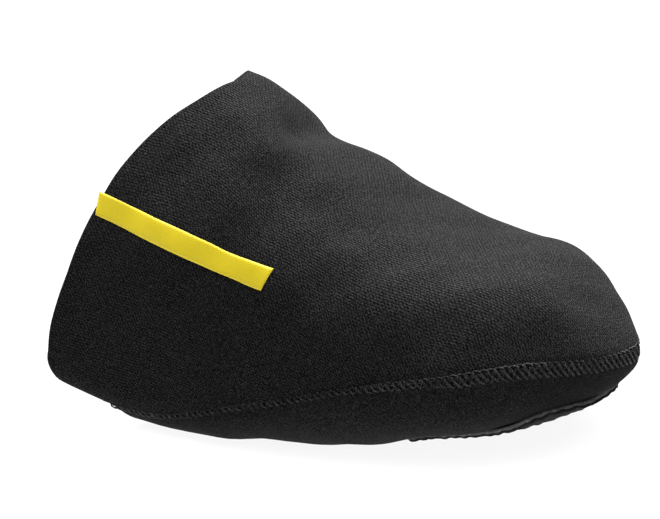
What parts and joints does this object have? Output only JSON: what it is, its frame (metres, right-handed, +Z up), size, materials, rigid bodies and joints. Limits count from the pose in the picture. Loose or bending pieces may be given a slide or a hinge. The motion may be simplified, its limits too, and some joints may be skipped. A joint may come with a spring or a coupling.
{
  "type": "cycling toe cover",
  "caption": "Toe cover for a right cycling shoe: stretch shell over instep and toe, open at the rear, with an underfoot panel, a cleat opening and a rough patch under the toe.",
  "frame": {"origin": "middle of the footprint's box, on the floor", "axes": "+X from the heel side to the toe, +Y to the inner side of the foot, +Z up"},
  "size_m": [0.1784, 0.104, 0.1044],
  "materials": {
    "knit": "black ribbed knit face on neoprene, matt",
    "wrap": "black knit-faced neoprene, matt",
    "guard": "rough dark grey rubberised patch",
    "film": "plain yellow film"
  },
  "bodies": {
    "root": {"upper": "knit", "sole_wrap": "wrap", "toe_guard": "guard", "side_stripe": "film"}
  },
  "joints": []
}
